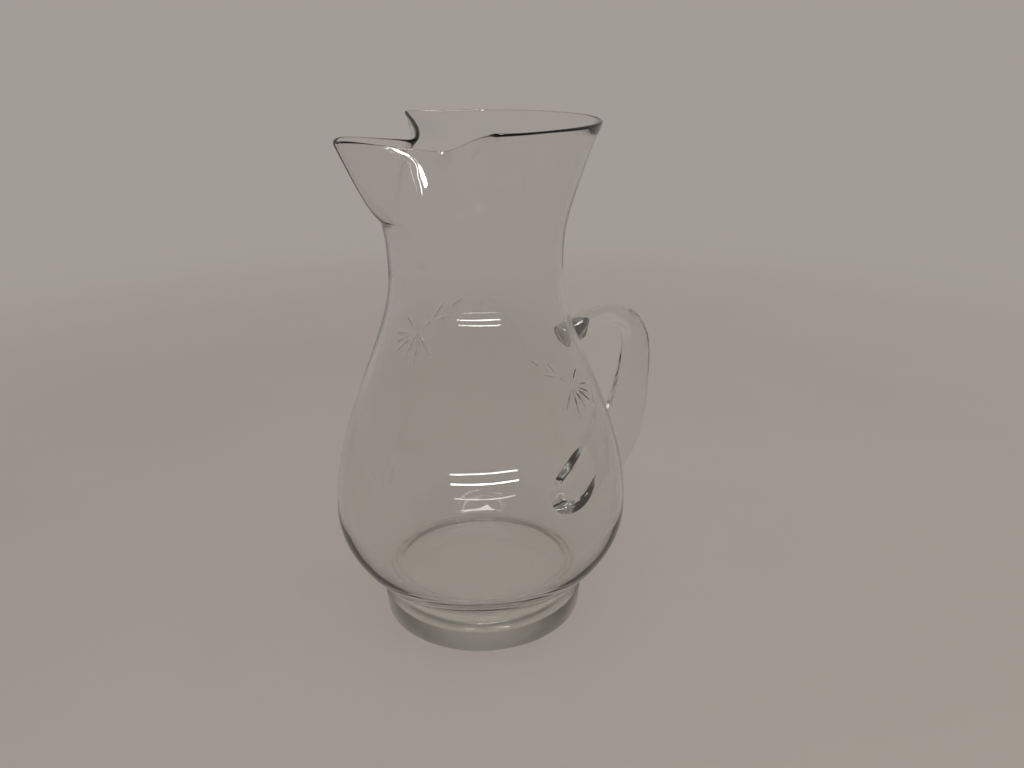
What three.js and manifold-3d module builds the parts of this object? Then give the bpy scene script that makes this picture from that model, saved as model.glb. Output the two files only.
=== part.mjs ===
// Hand-made glass pitcher: a blown bowl with a pinched pouring lip, a stuck-on foot disc
// and a drawn handle. Millimetres, +Z up. The origin is the middle of the foot's underside,
// the lip points along -X, and the handle stands on the +X side.

import * as THREE from "three";
import { ParametricGeometry } from "three/addons/geometries/ParametricGeometry.js";
import { mergeVertices } from "three/addons/utils/BufferGeometryUtils.js";
import Module from "manifold-3d";

const wasm = await Module();
wasm.setup();
const { degToRad, lerp, clamp } = THREE.MathUtils;

// Joints: the space left at each fused seam
const JOINT_GAP = 0.3;

// Foot disc
const FOOT_HEIGHT = 18;
const FOOT_RADIUS = 54.4;
const FOOT_BOTTOM_RADIUS = 53;
const FOOT_SHOULDER_ROUND = 4.5;
const FOOT_EDGE_ROUND = 2;

// Bowl, outer wall
const SEAT_RADIUS = 47.2;
const BELLY_RADIUS = 75.6;
const BELLY_HEIGHT = 62.5;
const NECK_RADIUS = 42;
const NECK_HEIGHT = 184;
const RIM_RADIUS = 58.8;
const RIM_HEIGHT = 254;

// Bowl, glass thickness
const BASE_WALL = 4.2;
const BODY_WALL = 2.8;
const RIM_WALL = 2.4;

// Bowl, fullness of its curves, each a share of the stretch that it bends
const SWELL_OUT = 0.9;
const SWELL_UP = 0.42;
const BELLY_FULLNESS_BELOW = 0.23;
const BELLY_FULLNESS_ABOVE = 0.374;
const NECK_FULLNESS_BELOW = 0.248;
const FLARE_START = 0.345;

// Pouring lip: a tongue between two pinches, with the rim standing up as a horn beside each
const LIP_START_BELOW_RIM = 43;
const TIP_STAND = 5;
const TIP_DROP = 6.5;
const TIP_HALF_WIDTH = 11;
const TIP_ARCH = 3.5;
const THROAT_ARCH = 1.8;
const THROAT_REACH = 22;
const THROAT_HALF_WIDTH = 24;
const TONGUE_STRAIGHT = 24;
const PINCH_DROP = 8.8;
const PINCH_ROUND = 5;
const HORN_STAND = 2;
const HORN_ROUND = 7;
const HORN_STRAIGHT = 22;
const HORN_DIP = 2.2;
const RIM_STRAIGHT = 14;
const PINCH_ANGLE = degToRad(52.5);
const HORN_ANGLE = degToRad(76);
const ROUND_RIM_ANGLE = degToRad(106);
const POUCH_EXPONENT = 0.64;

// Handle rod, as its centre line in an upright plane and its girth along it
const HANDLE_SWING = degToRad(10.5);
const HANDLE_LEAN = 0.1;
const HANDLE_TOP_HEIGHT = 143.5;
const HANDLE_BOTTOM_HEIGHT = 43;
const HANDLE_OUTERMOST_HEIGHT = 120;
const HANDLE_STAND_OFF = 26.5;
const ARCH_REACH = 32;
const ARCH_RISE = 15;
const ARCH_DROP = 24;
const GRIP_DROP = 38;
const PAD_REACH = 34;
const TOP_PAD = new THREE.Vector2(13, 16);
const ARCH_GIRTH = new THREE.Vector2(11.5, 14);
const GRIP_GIRTH = new THREE.Vector2(19, 18);
const LOWER_GIRTH = new THREE.Vector2(23, 22);
const BOTTOM_PAD = new THREE.Vector2(31, 33);

// Facets
const ROUND_SIDES = 64;
const TONGUE_STEPS = 8;
const PINCH_STEPS = 7;
const HORN_STEPS = 4;
const BACK_STEPS = 13;
const SWELL_ROWS = 8;
const SHOULDER_ROWS = 10;
const FLARE_ROWS = 12;
const RIM_BEAD_ROWS = 4;
const CORNER_STEPS = 4;
const HANDLE_SIDES = 16;
const HANDLE_STEPS = 34;

// Fineness of the working: searches, slopes and welds
const SEARCH_STEP = 1e-6;
const SLOPE_STEP = 1e-4;
const WELD_DISTANCE = 1e-3;

const BOWL_BOTTOM = FOOT_HEIGHT + JOINT_GAP;
const WALL_TOP = RIM_HEIGHT - RIM_WALL / 2;
const LIP_START = RIM_HEIGHT - LIP_START_BELOW_RIM;

// Bowl: outer profile
// Three curves from the seat to the belly, on to the neck, and out to the rim, with x as the
// radius and y as the height.
function bowlProfile() {
  const bellyRise = BELLY_HEIGHT - BOWL_BOTTOM;
  const neckRise = NECK_HEIGHT - BELLY_HEIGHT;
  const flareHeight = lerp(NECK_HEIGHT, WALL_TOP, FLARE_START);
  const path = new THREE.Path();
  path.moveTo(SEAT_RADIUS, BOWL_BOTTOM);
  path.bezierCurveTo(
    lerp(SEAT_RADIUS, BELLY_RADIUS, SWELL_OUT),
    BOWL_BOTTOM + SWELL_UP * bellyRise,
    BELLY_RADIUS,
    BELLY_HEIGHT - BELLY_FULLNESS_BELOW * bellyRise,
    BELLY_RADIUS,
    BELLY_HEIGHT,
  );
  path.bezierCurveTo(
    BELLY_RADIUS,
    BELLY_HEIGHT + BELLY_FULLNESS_ABOVE * neckRise,
    NECK_RADIUS,
    NECK_HEIGHT - NECK_FULLNESS_BELOW * neckRise,
    NECK_RADIUS,
    NECK_HEIGHT,
  );
  path.bezierCurveTo(NECK_RADIUS, flareHeight, NECK_RADIUS, flareHeight, RIM_RADIUS, WALL_TOP);
  return path;
}

const profile = bowlProfile();
const [, shoulderStart, flareStart] = [0, ...profile.getCurveLengths()].map(
  (length) => length / profile.getLength(),
);

// The place along the profile, from 0 to 1, that lies at a height.
function placeAtHeight(height) {
  let low = 0;
  let high = 1;
  while (high - low > SEARCH_STEP) {
    const middle = (low + high) / 2;
    const below = profile.getPoint(middle).y < height;
    low = below ? middle : low;
    high = below ? high : middle;
  }
  return low;
}

function bowlRadius(height) {
  return profile.getPoint(placeAtHeight(height)).x;
}

// Bowl: pouring lip
// Half of the rim as curves, each over a span of angle measured from the lip's own direction.
const LIP_RADIUS = bowlRadius(LIP_START);
const rimHalf = rimCurves();

function rimCurves() {
  const point = (x, y, z) => new THREE.Vector3(-x, y, z);
  const polar = (radius, angle, z) => point(radius * Math.cos(angle), radius * Math.sin(angle), z);
  const tipReach = RIM_RADIUS + TIP_STAND;
  const tipHeight = WALL_TOP - TIP_DROP;
  const pinchHeight = WALL_TOP - PINCH_DROP;
  const tip = point(tipReach, 0, tipHeight);
  const pinch = point(THROAT_REACH, THROAT_HALF_WIDTH, pinchHeight);
  const horn = polar(RIM_RADIUS + HORN_STAND, HORN_ANGLE, WALL_TOP);
  const roundRim = polar(RIM_RADIUS, ROUND_RIM_ANGLE, WALL_TOP);
  const alongRim = polar(RIM_STRAIGHT, ROUND_RIM_ANGLE - Math.PI / 2, 0);
  const tongue = new THREE.CubicBezierCurve3(
    tip,
    point(tipReach, TIP_HALF_WIDTH, tipHeight + TIP_ARCH),
    point(THROAT_REACH + TONGUE_STRAIGHT, THROAT_HALF_WIDTH, pinchHeight + THROAT_ARCH),
    pinch,
  );
  const fold = new THREE.CubicBezierCurve3(
    pinch,
    point(THROAT_REACH - PINCH_ROUND, THROAT_HALF_WIDTH, pinchHeight),
    horn.clone().add(new THREE.Vector3(0, -HORN_STRAIGHT, -HORN_DIP)),
    horn,
  );
  const shoulder = new THREE.CubicBezierCurve3(
    horn,
    horn.clone().add(new THREE.Vector3(0, HORN_ROUND, 0)),
    roundRim.clone().add(alongRim),
    roundRim,
  );
  return [
    { curve: tongue, from: 0, to: PINCH_ANGLE },
    { curve: fold, from: PINCH_ANGLE, to: HORN_ANGLE },
    { curve: shoulder, from: HORN_ANGLE, to: ROUND_RIM_ANGLE },
  ];
}

// The finished rim at an angle from the lip, from -180 to 180 degrees.
function rimPoint(angle) {
  const turn = Math.abs(angle);
  const span = rimHalf.find(({ to }) => turn <= to);
  const point = span
    ? span.curve.getPoint((turn - span.from) / (span.to - span.from))
    : new THREE.Vector3(-RIM_RADIUS * Math.cos(turn), RIM_RADIUS * Math.sin(turn), WALL_TOP);
  point.y *= Math.sign(angle) || 1;
  return point;
}

// The outer skin of the bowl at an angle from the lip and a place along the profile.
function skin(angle, place) {
  const { x: radius, y: height } = profile.getPoint(clamp(place, 0, 1));
  const around = new THREE.Vector3(-Math.cos(angle), Math.sin(angle), 0);
  const rise = (height - LIP_START) / (WALL_TOP - LIP_START);
  if (rise <= 0) return around.multiplyScalar(radius).setZ(height);
  const rim = rimPoint(angle);
  const flare = (radius - LIP_RADIUS) / (RIM_RADIUS - LIP_RADIUS);
  const inTongue = Math.max(0, 1 - Math.abs(angle) / PINCH_ANGLE);
  const pull = lerp(flare, rise ** POUCH_EXPONENT, Math.sin((inTongue * Math.PI) / 2));
  const point = around.multiplyScalar(LIP_RADIUS).lerp(rim, pull);
  return point.setZ(height - (WALL_TOP - rim.z) * rise ** 2);
}

// The direction out of the glass there, and the direction up along it.
function skinFrame(angle, place) {
  const along = skin(angle + SLOPE_STEP, place).sub(skin(angle - SLOPE_STEP, place));
  const above = skin(angle, place + SLOPE_STEP);
  const up = above.sub(skin(angle, place - SLOPE_STEP)).normalize();
  return { up, out: new THREE.Vector3().crossVectors(up, along).normalize() };
}

function wallThickness(place) {
  if (place < shoulderStart) return lerp(BASE_WALL, BODY_WALL, place / shoulderStart);
  if (place < flareStart) return BODY_WALL;
  return lerp(BODY_WALL, RIM_WALL, (place - flareStart) / (1 - flareStart));
}

// Bowl: solid
function steps(from, to, count) {
  return Array.from({ length: count }, (_, i) => lerp(from, to, (i + 1) / count));
}

function bowlAngles() {
  const half = [
    ...steps(0, PINCH_ANGLE, TONGUE_STEPS),
    ...steps(PINCH_ANGLE, HORN_ANGLE, PINCH_STEPS),
    ...steps(HORN_ANGLE, ROUND_RIM_ANGLE, HORN_STEPS),
    ...steps(ROUND_RIM_ANGLE, Math.PI, BACK_STEPS),
  ];
  return [...half.toReversed(), 0, ...half.map((angle) => -angle)];
}

// Places along the profile, from the seat to the rim.
function bowlPlaces() {
  return [
    0,
    ...steps(0, shoulderStart, SWELL_ROWS),
    ...steps(shoulderStart, flareStart, SHOULDER_ROWS),
    ...steps(flareStart, 1, FLARE_ROWS),
  ];
}

// One ring of the bowl: a place along the skin, the depth into the glass, and how far it
// stands above the rim.
function bowlRings() {
  const places = bowlPlaces();
  const outer = places.map((place) => ({ place, depth: 0, stand: 0 }));
  const bead = steps(0, Math.PI, RIM_BEAD_ROWS).map((turn) => ({
    place: 1,
    depth: (RIM_WALL / 2) * (1 - Math.cos(turn)),
    stand: (RIM_WALL / 2) * Math.sin(turn),
  }));
  const inner = places
    .slice(0, -1)
    .reverse()
    .map((place) => ({ place, depth: wallThickness(place), stand: 0 }));
  return [...outer, ...bead, ...inner];
}

function makeBowl() {
  const angles = bowlAngles();
  const rings = bowlRings();
  const stacks = rings.length + 1;
  const place = (u, v, target) => {
    const angle = angles[Math.round(u * (angles.length - 1))];
    const index = Math.round(v * stacks) - 1;
    const ring = rings[clamp(index, 0, rings.length - 1)];
    const { up, out } = skinFrame(angle, ring.place);
    target.copy(skin(angle, ring.place));
    target.addScaledVector(out, -ring.depth);
    target.addScaledVector(up, ring.stand);
    const onAxis = index < 0 || index === rings.length;
    return onAxis ? target.set(0, 0, target.z) : target;
  };
  return new ParametricGeometry(place, angles.length - 1, stacks);
}

// Foot: a solid disc, ground flat below and rounded at both edges
function makeFoot() {
  const path = new THREE.Path();
  path.moveTo(0, 0);
  path.lineTo(FOOT_BOTTOM_RADIUS - FOOT_EDGE_ROUND, 0);
  path.quadraticCurveTo(FOOT_BOTTOM_RADIUS, 0, FOOT_BOTTOM_RADIUS, FOOT_EDGE_ROUND);
  path.lineTo(FOOT_RADIUS, FOOT_HEIGHT - FOOT_SHOULDER_ROUND);
  path.quadraticCurveTo(FOOT_RADIUS, FOOT_HEIGHT, FOOT_RADIUS - FOOT_SHOULDER_ROUND, FOOT_HEIGHT);
  path.lineTo(0, FOOT_HEIGHT);
  return new THREE.LatheGeometry(path.getPoints(CORNER_STEPS), ROUND_SIDES).rotateX(Math.PI / 2);
}

// Handle: rod along its centre line, cut to the wall of the bowl at both ends
function handleLine() {
  const top = new THREE.Vector2(bowlRadius(HANDLE_TOP_HEIGHT), HANDLE_TOP_HEIGHT);
  const bottom = new THREE.Vector2(bowlRadius(HANDLE_BOTTOM_HEIGHT), HANDLE_BOTTOM_HEIGHT);
  const outermost = new THREE.Vector2(BELLY_RADIUS + HANDLE_STAND_OFF, HANDLE_OUTERMOST_HEIGHT);
  const path = new THREE.Path();
  path.moveTo(top.x - TOP_PAD.x, top.y);
  path.lineTo(top.x, top.y);
  path.bezierCurveTo(
    top.x + ARCH_REACH,
    top.y + ARCH_RISE,
    outermost.x,
    outermost.y + ARCH_DROP,
    outermost.x,
    outermost.y,
  );
  path.bezierCurveTo(
    outermost.x,
    outermost.y - GRIP_DROP,
    bottom.x + PAD_REACH,
    bottom.y,
    bottom.x,
    bottom.y,
  );
  path.lineTo(bottom.x - BOTTOM_PAD.x / 2, bottom.y);
  return path;
}

function makeHandleRod() {
  const line = handleLine();
  const girths = new THREE.SplineCurve([TOP_PAD, ARCH_GIRTH, GRIP_GIRTH, LOWER_GIRTH, BOTTOM_PAD]);
  const rings = HANDLE_STEPS + 2;
  const middle = (HANDLE_TOP_HEIGHT + HANDLE_BOTTOM_HEIGHT) / 2;
  const place = (u, v, target) => {
    const ring = Math.round(v * rings) - 1;
    const share = clamp(ring / HANDLE_STEPS, 0, 1);
    const closed = ring < 0 || ring > HANDLE_STEPS;
    const centre = line.getPoint(share);
    const along = line.getTangent(share);
    const girth = girths.getPoint(share).multiplyScalar(closed ? 0 : 0.5);
    const turn = -u * 2 * Math.PI;
    const across = Math.cos(turn) * girth.x;
    const sideways = Math.sin(turn) * girth.y;
    const height = centre.y + along.x * across;
    return target.set(centre.x - along.y * across, sideways - HANDLE_LEAN * (height - middle), height);
  };
  return new ParametricGeometry(place, HANDLE_SIDES, rings);
}

// The bowl without its hollow, grown by the seam.
function makeGrownBowl() {
  const skinPoints = bowlPlaces().map((place) => {
    const { x, y } = profile.getPoint(place);
    const along = profile.getTangent(place);
    return new THREE.Vector2(x + along.y * JOINT_GAP, y - along.x * JOINT_GAP);
  });
  const bottom = new THREE.Vector2(0, skinPoints[0].y);
  const top = new THREE.Vector2(0, skinPoints.at(-1).y);
  return new THREE.LatheGeometry([bottom, ...skinPoints, top], ROUND_SIDES).rotateX(Math.PI / 2);
}

// Solids and cuts
function solidFrom(geometry) {
  const bare = new THREE.BufferGeometry();
  bare.setAttribute("position", geometry.getAttribute("position"));
  bare.setIndex(geometry.getIndex());
  const merged = mergeVertices(bare, WELD_DISTANCE);
  const vertProperties = new Float32Array(merged.getAttribute("position").array);
  const triVerts = new Uint32Array(merged.getIndex().array);
  return new wasm.Manifold(new wasm.Mesh({ numProp: 3, vertProperties, triVerts }));
}

function geometryFrom(solid) {
  const { vertProperties, triVerts } = solid.getMesh();
  const geometry = new THREE.BufferGeometry();
  geometry.setAttribute("position", new THREE.BufferAttribute(vertProperties, 3));
  geometry.setIndex(new THREE.BufferAttribute(triVerts, 1));
  return geometry;
}

function makeHandle() {
  const rod = solidFrom(makeHandleRod().rotateZ(HANDLE_SWING));
  return geometryFrom(rod.subtract(solidFrom(makeGrownBowl())));
}

// Finishes
const POLISH = 0.04;

function clearGlass(color, opacity) {
  return new THREE.MeshStandardMaterial({
    color,
    opacity,
    transparent: true,
    roughness: POLISH,
    metalness: 0,
  });
}

const bodyGlass = clearGlass(0xdfe3df, 0.3);
const footGlass = clearGlass(0xb4bfb2, 0.5);
const handleGlass = clearGlass(0xd5dcd5, 0.35);

// Assembly
function namedMesh(name, geometry, material) {
  const mesh = new THREE.Mesh(geometry, material);
  mesh.name = name;
  return mesh;
}

const pitcher = new THREE.Group();
pitcher.add(namedMesh("foot", makeFoot(), footGlass));
pitcher.add(namedMesh("bowl", makeBowl(), bodyGlass));
pitcher.add(namedMesh("handle", makeHandle(), handleGlass));

export default pitcher;
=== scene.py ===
"""Looks of a hand-made glass pitcher: fused clear glass, light mitre cuts and a plain studio.

Metres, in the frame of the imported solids: +Z up, the pouring lip along -X, the handle on the
+X side, the middle of the foot's underside at the origin.
"""

import logging
import math
from collections.abc import Mapping, Sequence
from dataclasses import dataclass, field
from enum import Enum
from itertools import pairwise

import bmesh
import bpy
from mathutils import Matrix, Vector
from mathutils.geometry import interpolate_bezier


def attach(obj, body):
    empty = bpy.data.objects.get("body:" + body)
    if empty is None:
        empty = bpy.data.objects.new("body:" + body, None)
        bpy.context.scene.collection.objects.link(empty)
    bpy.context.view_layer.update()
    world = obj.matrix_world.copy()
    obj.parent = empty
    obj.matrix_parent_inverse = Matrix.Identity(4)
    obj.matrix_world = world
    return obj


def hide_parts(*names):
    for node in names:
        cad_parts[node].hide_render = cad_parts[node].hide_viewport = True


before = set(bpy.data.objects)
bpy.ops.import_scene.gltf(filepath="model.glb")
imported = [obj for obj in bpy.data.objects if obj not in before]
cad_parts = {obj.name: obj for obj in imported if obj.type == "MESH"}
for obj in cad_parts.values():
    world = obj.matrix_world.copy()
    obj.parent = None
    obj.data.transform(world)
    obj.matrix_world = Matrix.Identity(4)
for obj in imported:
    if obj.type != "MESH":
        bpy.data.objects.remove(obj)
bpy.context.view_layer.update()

LOG = logging.getLogger("pitcher")

MM = 0.001
WELD = 0.001 * MM
AXIS = Vector((0, 0, 1))

Colour = tuple[float, float, float]
BLACK: Colour = (0.0, 0.0, 0.0)

# Sockets of a Mix node that is set to colours
MIX_FACTOR = 0
MIX_FIRST = 6
MIX_SECOND = 7
MIX_RESULT = 2


class Value:
    """A shader socket that takes part in Python expressions."""

    def __init__(self, bench: "Bench", socket: bpy.types.NodeSocket | None) -> None:
        """Keeps the bench that the socket is on."""
        self.bench = bench
        self.socket = socket

    def math(self, operation: str, first: "Term", second: "Term") -> "Value":
        """Adds a Math node for two terms."""
        return self.bench.add("ShaderNodeMath", {"operation": operation}, {0: first, 1: second})

    def __add__(self, other: "Term") -> "Value":
        """Sum of two terms."""
        return self.math("ADD", self, other)

    def __radd__(self, other: "Term") -> "Value":
        """Sum with a plain number in front."""
        return self.math("ADD", other, self)

    def __mul__(self, other: "Term") -> "Value":
        """Product of two terms."""
        return self.math("MULTIPLY", self, other)

    def __rmul__(self, other: "Term") -> "Value":
        """Product with a plain number in front."""
        return self.math("MULTIPLY", other, self)


Term = Value | float


class Bench:
    """The node tree of one material or of the world, cleared for new work."""

    def __init__(self, owner: bpy.types.Material | bpy.types.World) -> None:
        """Empties a node tree.

        Args:
            owner: the material or world whose tree is filled next.
        """
        owner.use_nodes = True
        self.tree = owner.node_tree
        self.tree.nodes.clear()

    def add(
        self,
        kind: str,
        settings: Mapping[str, object] | None = None,
        sockets: Mapping[str | int, object] | None = None,
        output: str | int = 0,
    ) -> Value:
        """Adds a node of any type.

        Args:
            kind: Blender's name of the node type.
            settings: the node's own settings, where "stops" holds a ramp's places and colours.
            sockets: values or links of its input sockets, by name or number.
            output: the output socket that is handed back.

        Returns:
            The wrapped output socket.
        """
        node = self.tree.nodes.new(kind)
        for name, setting in (settings or {}).items():
            if name == "stops":
                self.set_stops(node.color_ramp, setting)
            else:
                setattr(node, name, setting)
        for key, value in (sockets or {}).items():
            if isinstance(value, Value):
                self.tree.links.new(value.socket, node.inputs[key])
            else:
                node.inputs[key].default_value = value
        return Value(self, node.outputs[output] if node.outputs else None)

    @staticmethod
    def set_stops(ramp: bpy.types.ColorRamp, stops: Sequence[tuple[float, Colour]]) -> None:
        """Sets a ramp's stops.

        Args:
            ramp: the ramp of a Color Ramp node.
            stops: places from 0 to 1 with their colours, in order.
        """
        while len(ramp.elements) < len(stops):
            ramp.elements.new(1.0)
        for element, (place, colour) in zip(ramp.elements, stops):
            element.position = place
            element.color = (*colour, 1.0)

    def noise(self, place: Value, size: float, detail: float = 2.0) -> Value:
        """Adds a noise pattern.

        Args:
            place: the coordinates that it reads.
            size: the length of one blotch, in metres.
            detail: how many finer layers it has.

        Returns:
            The pattern, from 0 to 1.
        """
        sockets = {"Vector": place, "Scale": 1 / size, "Detail": detail}
        return self.add("ShaderNodeTexNoise", sockets=sockets)

    def mix(self, share: Term, first: Value | Colour, second: Value | Colour) -> Value:
        """Mixes two colours.

        Args:
            share: how much of the second colour shows.
            first: colour at share 0.
            second: colour at share 1.

        Returns:
            The mixed colour.
        """
        ends = [end if isinstance(end, Value) else (*end, 1.0) for end in (first, second)]
        sockets = {MIX_FACTOR: share, MIX_FIRST: ends[0], MIX_SECOND: ends[1]}
        return self.add("ShaderNodeMix", {"data_type": "RGBA"}, sockets, MIX_RESULT)

    def let_lamps_through(self, skin: Value, loss: float) -> Value:
        """Lets the lamps' and the room's light pass a glass skin on its way to matt faces.

        Args:
            skin: the shader that the camera sees.
            loss: share of the light that the glass keeps.

        Returns:
            The whole surface shader.
        """
        kept = 1.0 - loss
        lamp_way = self.add("ShaderNodeBsdfTransparent", sockets={"Color": (kept, kept, kept, 1.0)})
        surface = skin
        for way in ("Is Shadow Ray", "Is Diffuse Ray"):
            passing = self.add("ShaderNodeLightPath", output=way)
            surface = self.add("ShaderNodeMixShader", sockets={0: passing, 1: surface, 2: lamp_way})
        return surface

    def seen_directly(self) -> Value:
        """Adds a mask of what the camera sees, also in gloss or through glass.

        Returns:
            1 for such a ray, 0 for one that lights a matt face.
        """
        names = ("Is Camera Ray", "Is Glossy Ray", "Is Transmission Ray")
        camera, gloss, glass = (self.add("ShaderNodeLightPath", output=name) for name in names)
        return camera + gloss + glass

    def show(self, surface: Value) -> None:
        """Joins the finished shader to the material's output."""
        self.add("ShaderNodeOutputMaterial", sockets={"Surface": surface})


@dataclass(frozen=True)
class Glass:
    """Soda-lime glass: its tint, the waves in its fire-polished skin, and the light that it keeps."""

    name: str
    tint: Colour
    streak_tint: Colour
    streak_stretch: Vector
    wave_size: float
    wave_depth: float
    ripple_depth: float
    polish: float
    smear: float
    lamp_loss: float
    streak_size: float = 30 * MM
    ripple_size: float = 7 * MM
    relief_detail: float = 1.0
    smear_size: float = 22 * MM
    smear_detail: float = 4.0
    smear_start: float = 0.5
    smear_full: float = 0.75
    body_loss: float = 0.02
    refraction: float = 1.52

    def make(self) -> bpy.types.Material:
        """Makes the material.

        Returns:
            Clear glass that lets the lamps through to the floor.
        """
        material = bpy.data.materials.new(self.name)
        bench = Bench(material)
        place = bench.add("ShaderNodeTexCoord", output="Object")
        drawn = bench.add("ShaderNodeMapping", sockets={"Vector": place, "Scale": self.streak_stretch})
        streaks = bench.noise(drawn, self.streak_size)
        waves = bench.noise(drawn, self.wave_size, self.relief_detail)
        ripples = bench.noise(drawn, self.ripple_size, self.relief_detail)
        relief = waves * self.wave_depth + ripples * self.ripple_depth
        blotches = bench.noise(place, self.smear_size, self.smear_detail)
        smears = bench.add(
            "ShaderNodeMapRange",
            sockets={"Value": blotches, "From Min": self.smear_start, "From Max": self.smear_full},
        )
        skin = bench.add(
            "ShaderNodeBsdfPrincipled",
            sockets={
                "Base Color": bench.mix(streaks, self.tint, self.streak_tint),
                "Roughness": self.polish + smears * self.smear,
                "IOR": self.refraction,
                "Transmission Weight": 1.0,
                "Normal": bench.add("ShaderNodeBump", sockets={"Height": relief, "Distance": 1.0}),
            },
        )
        # Each pass through a face loses this share, so long ways inside the glass end darker
        dark = bench.add("ShaderNodeBsdfDiffuse", sockets={"Color": (*BLACK, 1.0)})
        body = bench.add("ShaderNodeMixShader", sockets={0: self.body_loss, 1: skin, 2: dark})
        bench.show(bench.let_lamps_through(body, self.lamp_loss))
        return material


@dataclass(frozen=True)
class GroundGlass:
    """Glass with a dull skin, as a stone wheel leaves it."""

    name: str
    tint: Colour
    worn_tint: Colour
    roughness: float
    roughness_spread: float
    lamp_loss: float
    blotch_size: float = 3 * MM
    grain_size: float = 0.25 * MM
    grain_depth: float = 0.02 * MM
    refraction: float = 1.52

    def make(self) -> bpy.types.Material:
        """Makes the material.

        Returns:
            Frosted glass with a fine grain.
        """
        material = bpy.data.materials.new(self.name)
        bench = Bench(material)
        place = bench.add("ShaderNodeTexCoord", output="Object")
        grain = bench.noise(place, self.grain_size)
        blotches = bench.noise(place, self.blotch_size)
        bump = bench.add("ShaderNodeBump", sockets={"Height": grain, "Distance": self.grain_depth})
        skin = bench.add(
            "ShaderNodeBsdfPrincipled",
            sockets={
                "Base Color": bench.mix(blotches, self.tint, self.worn_tint),
                "Roughness": self.roughness + blotches * self.roughness_spread,
                "IOR": self.refraction,
                "Transmission Weight": 1.0,
                "Normal": bump,
            },
        )
        bench.show(bench.let_lamps_through(skin, self.lamp_loss))
        return material


@dataclass(frozen=True)
class FusedSeam:
    """The place where two gathers of hot glass became one, so that no face shows there."""

    name: str = "fused_seam"

    def make(self) -> bpy.types.Material:
        """Makes the material.

        Returns:
            A face that light passes straight.
        """
        material = bpy.data.materials.new(self.name)
        bench = Bench(material)
        bench.show(bench.add("ShaderNodeBsdfTransparent"))
        return material


@dataclass(frozen=True)
class PaleFloor:
    """A plain pale floor that runs into the backdrop's colour far from the object."""

    colour: Colour
    mottle_colour: Colour
    backdrop: Colour
    near: float = 0.35
    far: float = 0.95
    mottle_size: float = 0.12
    roughness: float = 0.65

    def make(self) -> bpy.types.Material:
        """Makes the material.

        Returns:
            A matt floor that keeps shadows near the origin.
        """
        material = bpy.data.materials.new("pale_floor")
        bench = Bench(material)
        place = bench.add("ShaderNodeTexCoord", output="Object")
        mottle = bench.noise(place, self.mottle_size)
        matt = bench.add(
            "ShaderNodeBsdfPrincipled",
            sockets={
                "Base Color": bench.mix(mottle, self.colour, self.mottle_colour),
                "Roughness": self.roughness,
                "Specular IOR Level": 0.0,
            },
        )
        glow = bench.add(
            "ShaderNodeEmission",
            sockets={"Color": (*self.backdrop, 1.0), "Strength": 1.0},
        )
        reach = bench.add("ShaderNodeVectorMath", {"operation": "LENGTH"}, {0: place}, "Value")
        far_off = bench.add(
            "ShaderNodeMapRange",
            {"interpolation_type": "SMOOTHSTEP"},
            {"Value": reach, "From Min": self.near, "From Max": self.far},
        )
        surface = bench.add(
            "ShaderNodeMixShader",
            sockets={0: far_off * bench.seen_directly(), 1: matt, 2: glow},
        )
        bench.show(surface)
        return material


class Finish(Enum):
    """The finishes of the pitcher."""

    BOWL = Glass(
        name="blown_glass",
        tint=(0.985, 0.985, 0.975),
        streak_tint=(0.955, 0.955, 0.94),
        streak_stretch=Vector((1.0, 1.0, 0.35)),
        wave_size=45 * MM,
        wave_depth=0.25 * MM,
        ripple_depth=0.006 * MM,
        polish=0.0,
        smear=0.03,
        lamp_loss=0.03,
    )
    FOOT = Glass(
        name="foot_glass",
        tint=(0.97, 0.99, 0.92),
        streak_tint=(0.92, 0.945, 0.86),
        streak_stretch=Vector((0.6, 0.6, 1.4)),
        wave_size=22 * MM,
        wave_depth=0.3 * MM,
        ripple_depth=0.03 * MM,
        polish=0.01,
        smear=0.05,
        lamp_loss=0.05,
    )
    HANDLE = Glass(
        name="drawn_glass",
        tint=(0.98, 0.985, 0.98),
        streak_tint=(0.94, 0.95, 0.935),
        streak_stretch=Vector((1.6, 1.6, 0.2)),
        wave_size=16 * MM,
        wave_depth=0.12 * MM,
        ripple_depth=0.006 * MM,
        polish=0.0,
        smear=0.03,
        lamp_loss=0.1,
    )
    # Painted shade: the pocket's grey tints, darker streaks and body_loss of 0.4 paint in the dark room
    # that the real air pocket mirrors
    POCKET_PAINTED_SHADE = Glass(
        name="pocket_painted_shade",
        tint=(0.8, 0.8, 0.78),
        streak_tint=(0.6, 0.6, 0.58),
        streak_stretch=Vector((1.0, 1.0, 1.0)),
        wave_size=6 * MM,
        wave_depth=0.05 * MM,
        ripple_depth=0.0,
        polish=0.0,
        smear=0.02,
        lamp_loss=0.1,
        body_loss=0.4,
    )
    CUT = GroundGlass(
        name="ground_cut",
        tint=(0.5, 0.49, 0.46),
        worn_tint=(0.72, 0.71, 0.68),
        roughness=0.2,
        roughness_spread=0.2,
        lamp_loss=0.2,
    )
    BASE = GroundGlass(
        name="ground_base",
        tint=(1.0, 1.0, 0.985),
        worn_tint=(0.985, 0.985, 0.965),
        roughness=0.02,
        roughness_spread=0.06,
        lamp_loss=0.0,
        blotch_size=14 * MM,
    )
    SEAM = FusedSeam()


def evenly_along(points: Sequence[Vector], count: int) -> list[Vector]:
    """Spaces points evenly along a line.

    Args:
        points: the corners of a fine line.
        count: how many points are wanted, both ends included.

    Returns:
        The points, from the line's start to its end.
    """
    reaches = [0.0]
    for start, end in pairwise(points):
        reaches.append(reaches[-1] + (end - start).length)
    spaced = []
    index = 0
    for number in range(count):
        wanted = reaches[-1] * number / (count - 1)
        while index < len(points) - 2 and reaches[index + 1] < wanted:
            index += 1
        share = (wanted - reaches[index]) / (reaches[index + 1] - reaches[index])
        spaced.append(points[index].lerp(points[index + 1], share))
    return spaced


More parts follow.
